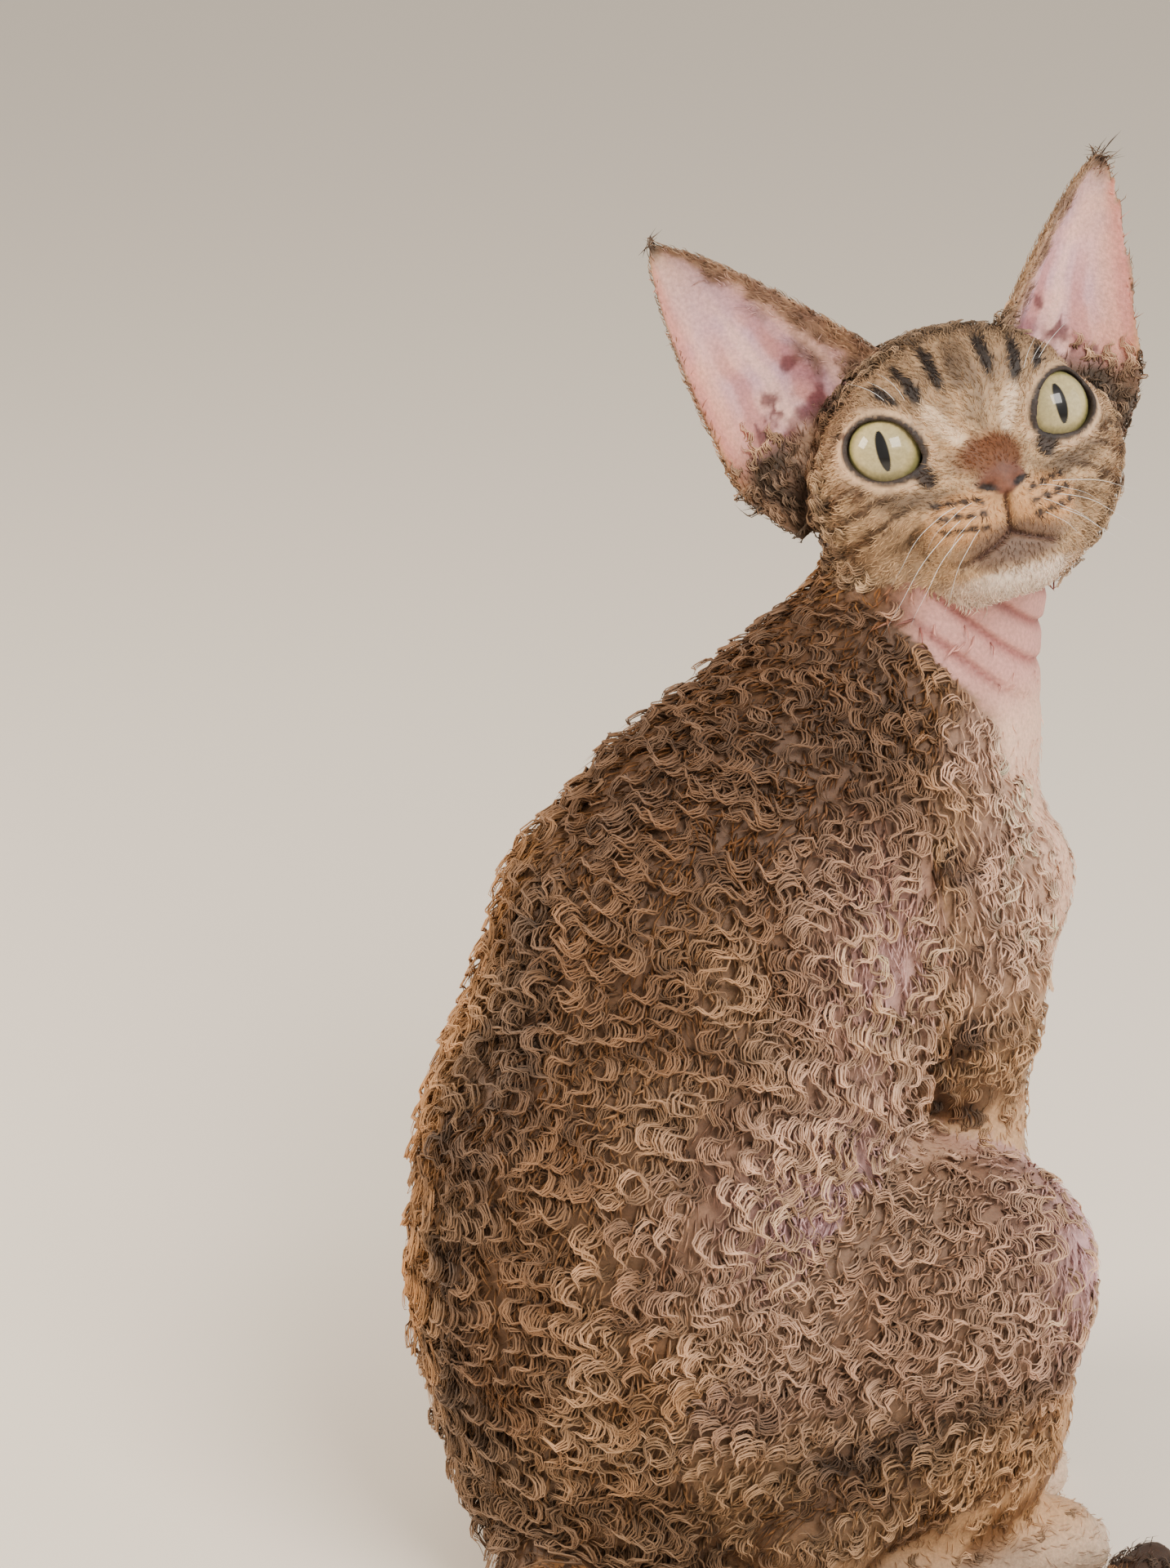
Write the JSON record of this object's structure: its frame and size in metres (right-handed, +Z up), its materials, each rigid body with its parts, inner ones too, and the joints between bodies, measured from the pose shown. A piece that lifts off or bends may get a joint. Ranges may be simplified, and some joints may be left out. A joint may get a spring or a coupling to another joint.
{
  "type": "devon rex cat",
  "caption": "Life-size still model of a sitting brown tabby devon rex cat, head turned to its right, with large ears and a curly coat.",
  "frame": {"origin": "centre of the flat under the rump, on the floor", "axes": "+Z up, the cat's body faces -Y, its left side is +X"},
  "size_m": [0.2188, 0.2373, 0.3969],
  "materials": {
    "coat": "matte curly hair",
    "ear_skin": "soft bare skin with short down",
    "eye": "wet gloss"
  },
  "bodies": {
    "root": {"head": "coat", "neck": "coat", "torso": "coat", "ear_left": "ear_skin", "ear_right": "ear_skin", "eye_left": "eye", "eye_right": "eye", "foreleg_left": "coat", "foreleg_right": "coat", "hindleg_left": "coat", "hindleg_right": "coat", "tail_base": "coat", "tail_middle": "coat", "tail_tip": "coat"}
  },
  "joints": []
}
